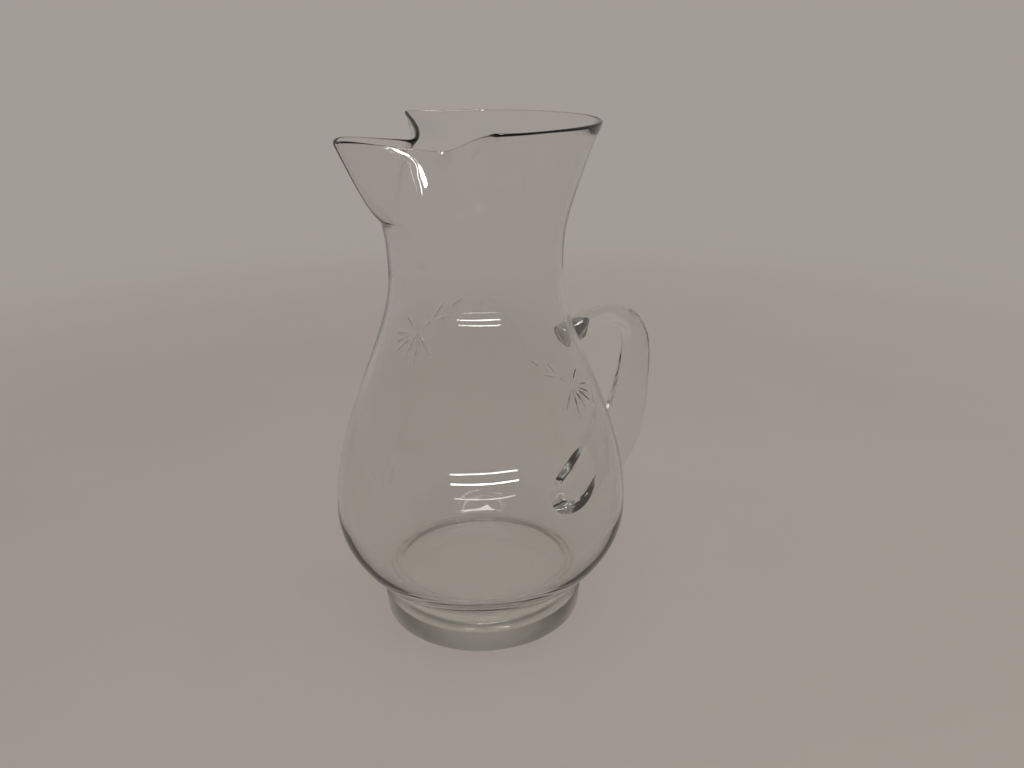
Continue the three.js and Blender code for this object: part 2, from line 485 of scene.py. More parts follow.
def smooth_through(knots: Sequence[Vector], steps: int) -> list[Vector]:
    """Runs a smooth curve through points.

    Args:
        knots: the points that it passes.
        steps: how many steps it takes from one to the next.

    Returns:
        Points on the curve, both ends included.
    """
    padded = [knots[0], *knots, knots[-1]]
    curve = [knots[0]]
    # The speed at a knot is half the way between its neighbours, and a handle a third of that
    parts = 6
    for before, start, end, after in zip(padded, padded[1:], padded[2:], padded[3:]):
        leaving = start + (end - before) / parts
        arriving = end - (after - start) / parts
        curve += interpolate_bezier(start, leaving, arriving, end, steps + 1)[1:]
    return curve


def on_bezier(corners: Sequence[Vector], share: float) -> Vector:
    """Finds a point on a cubic curve.

    Args:
        corners: start, two handles and end.
        share: the place on it, from 0 to 1.

    Returns:
        The point.
    """
    first, second, third, last = corners
    lower = first.lerp(second, share)
    middle = second.lerp(third, share)
    upper = third.lerp(last, share)
    return lower.lerp(middle, share).lerp(middle.lerp(upper, share), share)


def eased(share: float, leaving: float, arriving: float) -> float:
    """Eases a share of a way.

    Args:
        share: the plain share, from 0 to 1.
        leaving: speed at the start, where 1 is even.
        arriving: speed at the end.

    Returns:
        The eased share, from 0 to 1.
    """
    rest = 1 - share
    return share * rest**2 * leaving + share**2 * (3 - 2 * share) - share**2 * rest * arriving


def turn_on_axis(bm: bmesh.types.BMesh, outline: Sequence[Vector], steps: int) -> None:
    """Spins an outline once round the Z axis.

    Args:
        bm: the mesh that the skin goes into.
        outline: points from the axis or a rim outwards.
        steps: how many facets go round.
    """
    verts = [bm.verts.new(point) for point in outline]
    edges = [bm.edges.new(pair) for pair in pairwise(verts)]
    bmesh.ops.spin(
        bm,
        geom=[*verts, *edges],
        cent=Vector(),
        axis=AXIS,
        angle=math.tau,
        steps=steps,
        use_merge=True,
    )
    bmesh.ops.remove_doubles(bm, verts=bm.verts, dist=WELD)
    bmesh.ops.recalc_face_normals(bm, faces=bm.faces)


def round_edges(
    bm: bmesh.types.BMesh, edges: Sequence[bmesh.types.BMEdge], offset: float, segments: int
) -> None:
    """Rounds edges over.

    Args:
        bm: their mesh.
        edges: the edges.
        offset: how far the round starts from each edge.
        segments: how many facets go over the round.
    """
    bmesh.ops.bevel(
        bm,
        geom=edges,
        offset=offset,
        offset_type="OFFSET",
        segments=segments,
        profile=0.5,
        affect="EDGES",
        clamp_overlap=True,
        material=-1,
    )


def lies_at(part: bmesh.types.BMFace | bmesh.types.BMEdge, height: float) -> bool:
    """Tells whether a face or an edge lies level at a height."""
    return all(abs(vert.co.z - height) < WELD for vert in part.verts)


def towards(azimuth: float, elevation: float) -> Vector:
    """Finds the direction at an angle from +X towards +Y and an angle above level."""
    level = math.cos(elevation)
    return Vector((level * math.cos(azimuth), level * math.sin(azimuth), math.sin(elevation)))


def make_object(
    name: str, bm: bmesh.types.BMesh, finishes: Sequence[bpy.types.Material]
) -> bpy.types.Object:
    """Turns a finished bmesh into an object at the origin.

    Args:
        name: the object's name.
        bm: the mesh, which is freed.
        finishes: its materials, in the order of the faces' numbers.

    Returns:
        The new object.
    """
    mesh = bpy.data.meshes.new(name)
    bm.to_mesh(mesh)
    bm.free()
    for finish in finishes:
        mesh.materials.append(finish)
    made = bpy.data.objects.new(name, mesh)
    bpy.context.scene.collection.objects.link(made)
    return made


def carve(piece: bpy.types.Object, cutter: bpy.types.Object) -> None:
    """Cuts a solid out of a piece, with the solid's materials on the new faces.

    Args:
        piece: the piece that is cut.
        cutter: the solid, which is kept.
    """
    cut = piece.modifiers.new("carve", "BOOLEAN")
    cut.operation = "DIFFERENCE"
    cut.object = cutter
    cut.solver = "EXACT"
    cut.material_mode = "TRANSFER"
    whole = piece.data
    graph = bpy.context.evaluated_depsgraph_get()
    piece.data = bpy.data.meshes.new_from_object(piece.evaluated_get(graph))
    piece.modifiers.clear()
    bpy.data.meshes.remove(whole)


def mend(piece: bpy.types.Object) -> None:
    """Takes out the slivers and needless corners that cutting left in a piece.

    Args:
        piece: the piece after its last cut.
    """
    bm = bmesh.new()
    bm.from_mesh(piece.data)
    bmesh.ops.dissolve_degenerate(bm, dist=WELD, edges=bm.edges)
    needless = [vert for vert in bm.verts if len(vert.link_edges) == 2]
    bmesh.ops.dissolve_verts(bm, verts=needless)
    bm.to_mesh(piece.data)
    bm.free()


def drop(*helpers: bpy.types.Object) -> None:
    """Removes helper solids and their meshes."""
    for mesh in [helper.data for helper in helpers]:
        bpy.data.meshes.remove(mesh)


def smooth_shade(piece: bpy.types.Object, sharp: float = math.radians(32)) -> None:
    """Shades a piece smooth, apart from its sharp edges."""
    piece.data.shade_smooth()
    piece.data.set_sharp_from_angle(angle=sharp)


def mount(piece: bpy.types.Object, node: str) -> None:
    """Hands a finished piece to the frame.

    Args:
        piece: the dressed piece.
        node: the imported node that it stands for.
    """
    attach(piece, "root")
    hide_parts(node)
    LOG.info("%s stands for %s with %d faces", piece.name, node, len(piece.data.polygons))


@dataclass
class Lip:
    """The pinched pouring lip: a tongue between two pinches, with a horn of the rim beside each."""

    rim_radius: float
    wall_top: float
    tip_stand: float = 5 * MM
    tip_drop: float = 6.5 * MM
    tip_half_width: float = 11 * MM
    tip_arch: float = 3.5 * MM
    throat_arch: float = 1.8 * MM
    throat_reach: float = 22 * MM
    throat_half_width: float = 24 * MM
    tongue_straight: float = 24 * MM
    pinch_drop: float = 8.8 * MM
    pinch_round: float = 5 * MM
    horn_stand: float = 2 * MM
    horn_round: float = 7 * MM
    horn_straight: float = 22 * MM
    horn_dip: float = 2.2 * MM
    rim_straight: float = 14 * MM
    pinch_angle: float = math.radians(52.5)
    horn_angle: float = math.radians(76)
    round_rim_angle: float = math.radians(106)
    tongue_fullness: float = 0.7
    rim_spread: float = math.radians(5)
    fold_spread: float = math.radians(75)
    widest_spread: float = math.radians(26)
    fold_slant: float = math.radians(22)
    spread_samples: int = 8

    def __post_init__(self) -> None:
        """Draws the half of the rim on the +Y side as three curves."""
        tip_reach = self.rim_radius + self.tip_stand
        tip_height = self.wall_top - self.tip_drop
        pinch_height = self.wall_top - self.pinch_drop
        tip = Vector((-tip_reach, 0, tip_height))
        tip_handle = Vector((-tip_reach, self.tip_half_width, tip_height + self.tip_arch))
        throat_x = -self.throat_reach
        throat_handle = Vector(
            (throat_x - self.tongue_straight, self.throat_half_width, pinch_height + self.throat_arch)
        )
        pinch = Vector((throat_x, self.throat_half_width, pinch_height))
        pinch_handle = pinch + Vector((self.pinch_round, 0, 0))
        horn = self.on_circle(self.rim_radius + self.horn_stand, self.horn_angle)
        horn_below = horn - Vector((0, self.horn_straight, self.horn_dip))
        horn_beyond = horn + Vector((0, self.horn_round, 0))
        round_rim = self.on_circle(self.rim_radius, self.round_rim_angle)
        along = Vector((-math.sin(self.round_rim_angle), -math.cos(self.round_rim_angle), 0))
        rim_handle = round_rim + along * self.rim_straight
        curves = [
            (0.0, self.pinch_angle, (tip, tip_handle, throat_handle, pinch)),
            (self.pinch_angle, self.horn_angle, (pinch, pinch_handle, horn_below, horn)),
            (self.horn_angle, self.round_rim_angle, (horn, horn_beyond, rim_handle, round_rim)),
        ]
        # Both curves get one speed where they join, so the facets' width changes gently there
        leaving = [3 * (way[1] - way[0]).length / (end - start) for start, end, way in curves]
        arriving = [3 * (way[3] - way[2]).length / (end - start) for start, end, way in curves]
        joints = [math.sqrt(first * second) for first, second in zip(arriving, leaving[1:])]
        speeds = [leaving[0], *joints, self.rim_radius]
        self.spans = [
            (*curve, speeds[number] / leaving[number], speeds[number + 1] / arriving[number])
            for number, curve in enumerate(curves)
        ]

    def on_circle(self, radius: float, angle: float) -> Vector:
        """Finds the point of a level circle at an angle from the lip."""
        return Vector((-radius * math.cos(angle), radius * math.sin(angle), self.wall_top))

    def rim_point(self, angle: float) -> Vector:
        """Finds the finished rim.

        Args:
            angle: angle from the lip, from -180 to 180 degrees, in radians.

        Returns:
            The rim's point there.
        """
        turn = abs(angle)
        point = self.on_circle(self.rim_radius, turn)
        for start, end, corners, leaving, arriving in self.spans:
            if start <= turn <= end:
                point = on_bezier(corners, eased((turn - start) / (end - start), leaving, arriving))
        point.y = math.copysign(point.y, angle)
        return point

    def softened_rim(self, angle: float, depth: float) -> Vector:
        """Finds the form that the rim hands down the wall, where its folds get softer.

        Args:
            angle: angle from the lip, in radians.
            depth: how far below the rim, from 0 at the rim to 1 where the lip starts.

        Returns:
            The mean of the rim's points to both sides, nearer ones counted more.
        """
        spread = min(self.widest_spread, self.rim_spread + self.fold_spread * depth)
        spread *= 1 - self.tongue_share(angle)
        before_horn = abs(angle) / self.horn_angle
        after_horn = (math.pi - abs(angle)) / (math.pi - self.horn_angle)
        turn = eased(min(1.0, before_horn, after_horn), 0, 0)
        slant = math.copysign(self.fold_slant * depth * turn, angle)
        total = Vector()
        weights = 0.0
        for number in range(-self.spread_samples, self.spread_samples + 1):
            share = number / (self.spread_samples + 1)
            weight = (1 - share**2) ** 2
            total += self.rim_point(self.wrapped(angle + slant + share * spread)) * weight
            weights += weight
        return total / weights

    @staticmethod
    def wrapped(angle: float) -> float:
        """Brings an angle between -180 and 180 degrees."""
        return math.remainder(angle, math.tau)

    def tongue_share(self, angle: float) -> float:
        """Tells how far inside the tongue an angle lies, from 0 at a pinch to 1 at the tip."""
        return eased(max(0.0, 1 - abs(angle) / self.pinch_angle) ** self.tongue_fullness, 0, 0)


@dataclass
class Bowl:
    """The blown bowl, from its seat on the foot to its pinched rim."""

    seat_height: float
    seat_radius: float = 47.2 * MM
    belly_radius: float = 75.6 * MM
    belly_height: float = 62.5 * MM
    neck_radius: float = 42 * MM
    neck_height: float = 184 * MM
    rim_radius: float = 58.8 * MM
    rim_height: float = 254 * MM
    base_wall: float = 4.2 * MM
    body_wall: float = 2.8 * MM
    rim_wall: float = 1.9 * MM
    swell_out: float = 0.9
    swell_up: float = 0.42
    belly_fullness_below: float = 0.23
    belly_fullness_above: float = 0.374
    neck_fullness_below: float = 0.248
    flare_start: float = 0.345
    lip_depth: float = 43 * MM
    pouch_exponent: float = 0.62
    pouch_start: float = 0.02
    floor_round: float = 6 * MM
    rim_round_share: float = 0.47
    corner_bend: float = math.radians(15)
    facets: int = 360
    swell_rows: int = 16
    shoulder_rows: int = 34
    flare_rows: int = 30
    round_segments: int = 6
    lip: Lip = field(init=False)

    def __post_init__(self) -> None:
        """Works out the wall's outline and the lip on top of it."""
        self.wall_top = self.rim_height - self.rim_wall / 2
        self.lip_start = self.rim_height - self.lip_depth
        self.lip = Lip(self.rim_radius, self.wall_top)
        self.wall_line = self.outer_line()
        self.lip_radius = self.radius_at(self.lip_start)

    def outer_line(self) -> list[Vector]:
        """Draws the outer wall.

        Returns:
            Points from the seat's edge to the top of the wall, with x as the radius.
        """
        seat = Vector((self.seat_radius, 0, self.seat_height))
        belly = Vector((self.belly_radius, 0, self.belly_height))
        neck = Vector((self.neck_radius, 0, self.neck_height))
        rim = Vector((self.rim_radius, 0, self.wall_top))
        swell = Vector((belly.x - seat.x, 0, belly.z - seat.z))
        rise = neck.z - belly.z
        seat_handle = seat + Vector((swell.x * self.swell_out, 0, swell.z * self.swell_up))
        belly_below = belly - AXIS * (swell.z * self.belly_fullness_below)
        belly_above = belly + AXIS * (rise * self.belly_fullness_above)
        neck_below = neck - AXIS * (rise * self.neck_fullness_below)
        neck_above = neck + AXIS * ((rim.z - neck.z) * self.flare_start)
        return [
            *interpolate_bezier(seat, seat_handle, belly_below, belly, self.swell_rows + 1),
            *interpolate_bezier(belly, belly_above, neck_below, neck, self.shoulder_rows + 1)[1:],
            *interpolate_bezier(neck, neck_above, neck_above, rim, self.flare_rows + 1)[1:],
        ]

    def radius_at(self, height: float) -> float:
        """Finds the outer radius at a height.

        Args:
            height: a height between the seat and the top of the wall.

        Returns:
            The radius of the bowl without its lip.
        """
        for below, above in pairwise(self.wall_line):
            if below.z <= height <= above.z:
                return below.lerp(above, (height - below.z) / (above.z - below.z)).x
        return self.rim_radius

    def slope_at(self, height: float) -> Vector:
        """Finds the direction up along the wall.

        Args:
            height: a height between the seat and the top of the wall.

        Returns:
            The direction there, in the plane of +X.
        """
        step = MM
        climb = self.radius_at(height + step) - self.radius_at(height - step)
        return Vector((climb, 0, 2 * step)).normalized()

    def pulled(self, point: Vector) -> Vector:
        """Moves a point of the plain round bowl to where the lip's pulling took it.

        Args:
            point: a point on the outer skin.

        Returns:
            Its place on the finished skin.
        """
        rise = (point.z - self.lip_start) / (self.wall_top - self.lip_start)
        if rise <= 0:
            return point
        angle = math.atan2(point.y, -point.x)
        rim = self.lip.softened_rim(angle, max(0.0, 1 - rise))
        radius = math.hypot(point.x, point.y)
        start = self.lip.on_circle(self.lip_radius, angle)
        flare = (radius - self.lip_radius) / (self.rim_radius - self.lip_radius)
        tongue = self.lip.tongue_share(angle)
        start_pull = self.pouch_start**self.pouch_exponent
        full_pull = (1 + self.pouch_start) ** self.pouch_exponent - start_pull
        pouch = ((rise + self.pouch_start) ** self.pouch_exponent - start_pull) / full_pull
        pull = flare + (pouch - flare) * tongue
        moved = start.lerp(rim, pull)
        moved.z = point.z - (self.wall_top - rim.z) * rise**2
        return moved

    def wall_at(self, height: float) -> float:
        """Finds the thickness of the glass.

        Args:
            height: a height on the outer skin.

        Returns:
            The thickness there.
        """
        if height < self.belly_height:
            share = (height - self.seat_height) / (self.belly_height - self.seat_height)
            return self.base_wall + (self.body_wall - self.base_wall) * share
        share = max(0.0, (height - self.neck_height) / (self.rim_height - self.neck_height))
        return self.body_wall + (self.rim_wall - self.body_wall) * share

    def plain_solid(self, name: str, growth: float, seam: bpy.types.Material) -> bpy.types.Object:
        """Makes the round bowl without its hollow and lip, for fitting the handle.

        Args:
            name: the helper's name.
            growth: how far its skin stands outside the bowl's own.
            seam: material of its skin.

        Returns:
            The helper solid.
        """
        bottom, top = self.wall_line[0], self.wall_line[-1]
        outline = [Vector((0, 0, bottom.z)), *self.wall_line, Vector((0, 0, top.z))]
        bm = bmesh.new()
        turn_on_axis(bm, outline, self.facets)
        bm.normal_update()
        for vert in bm.verts:
            vert.co += vert.normal * growth
        return make_object(name, bm, [seam])

    def thicken(self, bm: bmesh.types.BMesh) -> None:
        """Gives the outer skin its inner wall, a round rim and a round floor corner.

        Args:
            bm: the mesh with the finished outer skin.
        """
        copy = bmesh.ops.duplicate(bm, geom=[*bm.verts, *bm.edges, *bm.faces])["geom"]
        inner_verts = [part for part in copy if isinstance(part, bmesh.types.BMVert)]
        inner_edges = [part for part in copy if isinstance(part, bmesh.types.BMEdge)]
        inner_faces = [part for part in copy if isinstance(part, bmesh.types.BMFace)]
        bm.normal_update()
        for vert in inner_verts:
            vert.co -= vert.normal * self.wall_at(vert.co.z)
        bmesh.ops.reverse_faces(bm, faces=inner_faces)
        rim_edges = [edge for edge in bm.edges if edge.is_boundary]
        bmesh.ops.bridge_loops(bm, edges=rim_edges)
        bm.normal_update()
        corner_top = self.seat_height + 2 * self.base_wall
        corner = [
            edge
            for edge in inner_edges
            if edge.verts[0].co.z < corner_top and edge.calc_face_angle() > self.corner_bend
        ]
        round_edges(bm, corner, self.floor_round, self.round_segments)
        round_edges(bm, rim_edges, self.rim_wall * self.rim_round_share, self.round_segments)

    def build(self, glass: bpy.types.Material, seam: bpy.types.Material) -> bpy.types.Object:
        """Builds the bowl before its cuts.

        Args:
            glass: finish of its walls.
            seam: finish of its underside.

        Returns:
            The bowl.
        """
        bm = bmesh.new()
        outline = [Vector((0, 0, self.seat_height)), *self.wall_line]
        outline[-1] = outline[-1] + self.slope_at(self.wall_top - MM) * (self.rim_wall / 2)
        turn_on_axis(bm, outline, self.facets)
        # The skin is open at the rim, so which way it faces is read from its flat seat
        if all(face.normal.z > 0 for face in bm.faces if lies_at(face, self.seat_height)):
            bmesh.ops.reverse_faces(bm, faces=bm.faces)
        for vert in bm.verts:
            vert.co = self.pulled(vert.co)
        self.thicken(bm)
        finishes = [glass, seam]
        for face in bm.faces:
            if lies_at(face, self.seat_height):
                face.material_index = finishes.index(seam)
        return make_object("blown_bowl", bm, finishes)


@dataclass
class Foot:
    """The thick foot disc, ground flat below and rounded at both edges."""

    seat_radius: float
    height: float = 18 * MM
    radius: float = 54.4 * MM
    bottom_radius: float = 53 * MM
    shoulder_round: float = 4.5 * MM
    edge_round: float = 2 * MM
    facets: int = 288
    round_segments: int = 6

    def round_ring(self, bm: bmesh.types.BMesh, radius: float, height: float, offset: float) -> None:
        """Rounds one edge of the disc.

        Args:
            bm: the disc's mesh.
            radius: the edge's radius.
            height: the edge's height.
            offset: how far the round starts from the edge.
        """
        ring = [
            edge
            for edge in bm.edges
            if lies_at(edge, height)
            and all(abs(vert.co.xy.length - radius) < WELD for vert in edge.verts)
        ]
        round_edges(bm, ring, offset, self.round_segments)

    def build(
        self, glass: bpy.types.Material, seam: bpy.types.Material, ground: bpy.types.Material
    ) -> bpy.types.Object:
        """Builds the foot.

        Args:
            glass: finish of the disc.
            seam: finish of the seat of the bowl.
            ground: finish of the flat underside.

        Returns:
            The foot.
        """
        bm = bmesh.new()
        outline = [
            Vector((0, 0, 0)),
            Vector((self.bottom_radius, 0, 0)),
            Vector((self.radius, 0, self.height)),
            Vector((self.seat_radius, 0, self.height)),
            Vector((0, 0, self.height)),
        ]
        turn_on_axis(bm, outline, self.facets)
        self.round_ring(bm, self.radius, self.height, self.shoulder_round)
        self.round_ring(bm, self.bottom_radius, 0.0, self.edge_round)
        finishes = [glass, seam, ground]
        for face in bm.faces:
            within_seat = face.calc_center_median().xy.length < self.seat_radius
            if lies_at(face, self.height) and within_seat:
                face.material_index = finishes.index(seam)
            elif lies_at(face, 0.0):
                face.material_index = finishes.index(ground)
        return make_object("foot_disc", bm, finishes)


@dataclass
class Handle:
    """The drawn handle rod, stuck to the bowl at both ends."""

    bowl: Bowl
    swing: float = math.radians(10.5)
    lean: float = 0.1
    top_height: float = 143.5 * MM
    bottom_height: float = 43 * MM
    outermost_height: float = 120 * MM
    stand_off: float = 26.5 * MM
    arch_reach: float = 32 * MM
    arch_rise: float = 15 * MM
    arch_drop: float = 24 * MM
    grip_drop: float = 38 * MM
    pad_reach: float = 24 * MM
    pad_rise: float = 16 * MM
    top_pad: Vector = Vector((13 * MM, 16 * MM))
    arch_girth: Vector = Vector((11.5 * MM, 14 * MM))
    grip_girth: Vector = Vector((19 * MM, 18 * MM))
    lower_girth: Vector = Vector((31 * MM, 25 * MM))
    bottom_pad: Vector = Vector((31 * MM, 33 * MM))
    girth_steps: int = 32
    sides: int = 56
    curve_steps: int = 120
    pocket_girth: float = 0.62
    pocket_start: int = 10
    pocket_rings: int = 9
    pocket_bluntness: float = 0.25

    def girth_knots(self) -> list[Vector]:
        """Lists the rod's girths at even steps, from its top pad to its bottom pad."""
        return [self.top_pad, self.arch_girth, self.grip_girth, self.lower_girth, self.bottom_pad]

    def centre_line(self) -> list[Vector]:
        """Draws the rod's centre line in the plane of +X.

        Returns:
            A fine line from inside the neck's wall to inside the belly's.
        """
        top = Vector((self.bowl.radius_at(self.top_height), 0, self.top_height))
        bottom = Vector((self.bowl.radius_at(self.bottom_height), 0, self.bottom_height))
        outermost = Vector((self.bowl.belly_radius + self.stand_off, 0, self.outermost_height))
        arch_handle = top + Vector((self.arch_reach, 0, self.arch_rise))
        over = outermost + AXIS * self.arch_drop
        under = outermost - AXIS * self.grip_drop
        pad_handle = bottom + Vector((self.pad_reach, 0, self.pad_rise))
        return [
            top - Vector((self.top_pad.x, 0, 0)),
            *interpolate_bezier(top, arch_handle, over, outermost, self.curve_steps),
            *interpolate_bezier(outermost, under, pad_handle, bottom, self.curve_steps)[1:],
            bottom - Vector((self.bottom_pad.x / 2, 0, 0)),
        ]

    def ring_places(self) -> list[Matrix]:
        """Places a ring at each step along the rod.

        Returns:
            One matrix for each ring, which takes a unit circle to its place.
        """
        girths = smooth_through(self.girth_knots(), self.girth_steps)
        line = evenly_along(self.centre_line(), len(girths))
        middle = (self.top_height + self.bottom_height) / 2
        sway = Matrix.Identity(4)
        sway[1][2] = -self.lean
        sway[1][3] = self.lean * middle
        turn = Matrix.Rotation(self.swing, 4, "Z")
        before = [line[0], *line[:-1]]
        after = [*line[1:], line[-1]]
        places = []
        for centre, girth, behind, ahead in zip(line, girths, before, after):
            along = (ahead - behind).normalized()
            across = Vector((-along.z, 0, along.x)) * girth.x
            sideways = Vector((0, girth.y, 0))
            place = Matrix.Translation(centre) @ Matrix((across, sideways, along)).transposed().to_4x4()
            places.append(turn @ sway @ place)
        return places

    def loft(
        self, name: str, places: Sequence[Matrix], shares: Sequence[float], finish: bpy.types.Material
    ) -> bpy.types.Object:
        """Runs a closed skin over a row of rings.

        Args:
            name: name of the piece.
            places: the rod's rings that it follows.
            shares: its girth at each ring, as a share of the rod's.
            finish: finish of the skin.

        Returns:
            The solid.
        """
        bm = bmesh.new()
        rings = []
        for place, share in zip(places, shares):
            ring = bmesh.ops.create_circle(bm, segments=self.sides, radius=share / 2, matrix=place)
            edges = (edge for vert in ring["verts"] for edge in vert.link_edges)
            rings.append(list(dict.fromkeys(edges)))
        for lower, upper in pairwise(rings):
            bmesh.ops.bridge_loops(bm, edges=[*lower, *upper])
        bmesh.ops.holes_fill(bm, edges=[*rings[0], *rings[-1]], sides=self.sides)
        bmesh.ops.recalc_face_normals(bm, faces=bm.faces)
        return make_object(name, bm, [finish])

    def build(self, glass: bpy.types.Material, name: str = "drawn_handle") -> bpy.types.Object:
        """Builds the whole rod, with both ends inside the bowl's wall.

        Args:
            glass: finish of the rod.
            name: name of the piece.

        Returns:
            The rod before it is fitted.
        """
        places = self.ring_places()
        return self.loft(name, places, [1.0] * len(places), glass)

    def air_pocket(self, glass: bpy.types.Material) -> bpy.types.Object:
        """Builds the drop of air that was caught in the rod when its top was stuck on.

        Args:
            glass: finish of the pocket's skin.

        Returns:
            The pocket as a solid.
        """
        places = self.ring_places()[self.pocket_start : self.pocket_start + self.pocket_rings]
        widest = self.pocket_bluntness / (1 + self.pocket_bluntness)
        full_girth = widest**self.pocket_bluntness * (1 - widest)
        shares = []
        for number in range(self.pocket_rings):
            # Each ring stands in the middle of its step, so neither end shrinks to a point
            along = (number + 0.5) / self.pocket_rings
            drop_girth = along**self.pocket_bluntness * (1 - along)
            shares.append(self.pocket_girth * drop_girth / full_girth)
        return self.loft("air_pocket", places, shares, glass)


@dataclass(frozen=True)
class WheelCut:
    """One boat-shaped mitre cut: where it lies on the bowl, its direction and its size."""

    azimuth: float
    height: float
    heading: float
    length: float
    depth: float
    clearance: float = 0.2 * MM
    half_angle: float = math.radians(65)
    overrun: float = 1.25
    steps: int = 12

    def add_to(self, bm: bmesh.types.BMesh, bowl: Bowl) -> None:
        """Adds the part of the wheel that bites into the glass.

        Args:
            bm: the mesh that collects the wheels.
            bowl: the bowl that is cut.
        """
        wheel_radius = self.length**2 / (8 * self.depth)
        reach = wheel_radius - self.depth - self.clearance
        half_width = (self.depth + self.clearance) * math.tan(self.half_angle)
        sweep = math.asin(self.length / 2 / wheel_radius) * self.overrun
        out, across = self.directions(bowl)
        level = Vector((out.x, out.y, 0)).normalized()
        surface = level * bowl.radius_at(self.height) + AXIS * self.height
        hub = surface + out * (wheel_radius - self.depth)
        start = Matrix.Rotation(-sweep, 3, across) @ -out
        corners = [hub + start * wheel_radius]
        corners += [hub + start * reach + across * (side * half_width) for side in (-1, 1)]
        verts = [bm.verts.new(corner) for corner in corners]
        tip = bm.faces.new(verts)
        bmesh.ops.spin(
            bm,
            geom=[tip],
            cent=hub,
            axis=across,
            angle=2 * sweep,
            steps=self.steps,
        )

    def directions(self, bowl: Bowl) -> tuple[Vector, Vector]:
        """Finds the wheel's directions on the glass.

        Args:
            bowl: the bowl that is cut.

        Returns:
            Out of the glass, and along the wheel's axle.
        """
        turn = Matrix.Rotation(self.azimuth, 3, "Z")
        up = turn @ bowl.slope_at(self.height)
        right = turn @ Vector((0, 1, 0))
        out = right.cross(up).normalized()
        along = (up * math.cos(self.heading) + right * math.sin(self.heading)).normalized()
        return out, out.cross(along).normalized()


@dataclass(frozen=True)
class Spray:
    """A cut flower: a fan of petals, a fine stem and three leaves along it.

    The petals' headings are in degrees from straight up, their lengths in millimetres.
    """

    azimuth: float
    height: float
    hand: int
    petal_headings: tuple[float, ...] = (-54, -106, -122, -136, -158, -184, -220)
    petal_lengths: tuple[float, ...] = (8, 16, 16, 18, 13.5, 13.5, 13)
    petal_start: float = 2 * MM
    petal_depth: float = 0.25 * MM
    stem_heading: float = math.radians(50)
    stem_length: float = 8 * MM
    stem_depth: float = 0.12 * MM
    leaf_start: float = 10 * MM
    leaf_length: float = 9 * MM
    leaf_splay: float = math.radians(16)
    leaf_depth: float = 0.22 * MM
    tip_leaf_start: float = 19.5 * MM
    tip_leaf_length: float = 8 * MM
    tip_leaf_depth: float = 0.2 * MM

    def cut(self, bowl: Bowl, heading: float, start: float, length: float, depth: float) -> WheelCut:
        """Lays out one cut that runs away from the flower's middle.

        Args:
            bowl: the bowl that is cut.
            heading: direction from straight up, to the right, before the hand is applied.
            start: distance from the middle to the cut's near end.
            length: length of the cut.
            depth: its greatest depth.

        Returns:
            The cut.
        """
        return self.place(bowl, heading, start + length / 2, heading, length, depth)

    def place(
        self, bowl: Bowl, bearing: float, distance: float, heading: float, length: float, depth: float
    ) -> WheelCut:
        """Places a cut by the bearing and distance of its middle.

        Args:
            bowl: the bowl that is cut.
            bearing: direction from the flower's middle to the cut's middle.
            distance: how far away that is.
            heading: direction of the cut itself.
            length: length of the cut.
            depth: its greatest depth.

        Returns:
            The cut.
        """
        climb = distance * math.cos(bearing) * bowl.slope_at(self.height).z
        sideways = self.hand * distance * math.sin(bearing)
        height = self.height + climb
        azimuth = self.azimuth + sideways / bowl.radius_at(height)
        return WheelCut(azimuth, height, self.hand * heading, length, depth)

    def cuts(self, bowl: Bowl) -> list[WheelCut]:
        """Lays out the whole flower.

        Args:
            bowl: the bowl that is cut.

        Returns:
            Its cuts.
        """
        made = []
        for degrees, length in zip(self.petal_headings, self.petal_lengths):
            heading = math.radians(degrees)
            made.append(self.cut(bowl, heading, self.petal_start, length * MM, self.petal_depth))
        stem = self.stem_heading
        made.append(self.cut(bowl, stem, self.petal_start, self.stem_length, self.stem_depth))
        for side in (-1, 1):
            bearing = stem + side * self.leaf_splay / 2
            distance = self.leaf_start + self.leaf_length / 2
            heading = stem + side * self.leaf_splay
            made.append(self.place(bowl, bearing, distance, heading, self.leaf_length, self.leaf_depth))
        tip_leaf = (self.tip_leaf_start, self.tip_leaf_length, self.tip_leaf_depth)
        made.append(self.cut(bowl, stem, *tip_leaf))
        return made


@dataclass
class Decoration:
    """The cut sprays round the bowl."""

    sprays: tuple[Spray, ...] = (
        Spray(azimuth=math.radians(-147.5), height=166.5 * MM, hand=1),
        Spray(azimuth=math.radians(-59), height=138 * MM, hand=-1),
    )

    def wheels(self, bowl: Bowl, finish: bpy.types.Material) -> bpy.types.Object:
        """Builds all the wheels' bites as one cutter.

        Args:
            bowl: the bowl that is cut.
            finish: finish that the cuts keep.

        Returns:
            The cutter.
        """
        bm = bmesh.new()
        for spray in self.sprays:
            for cut in spray.cuts(bowl):
                cut.add_to(bm, bowl)
        bmesh.ops.holes_fill(bm, edges=bm.edges, sides=3)
        bmesh.ops.recalc_face_normals(bm, faces=bm.faces)
        return make_object("wheel_bites", bm, [finish])


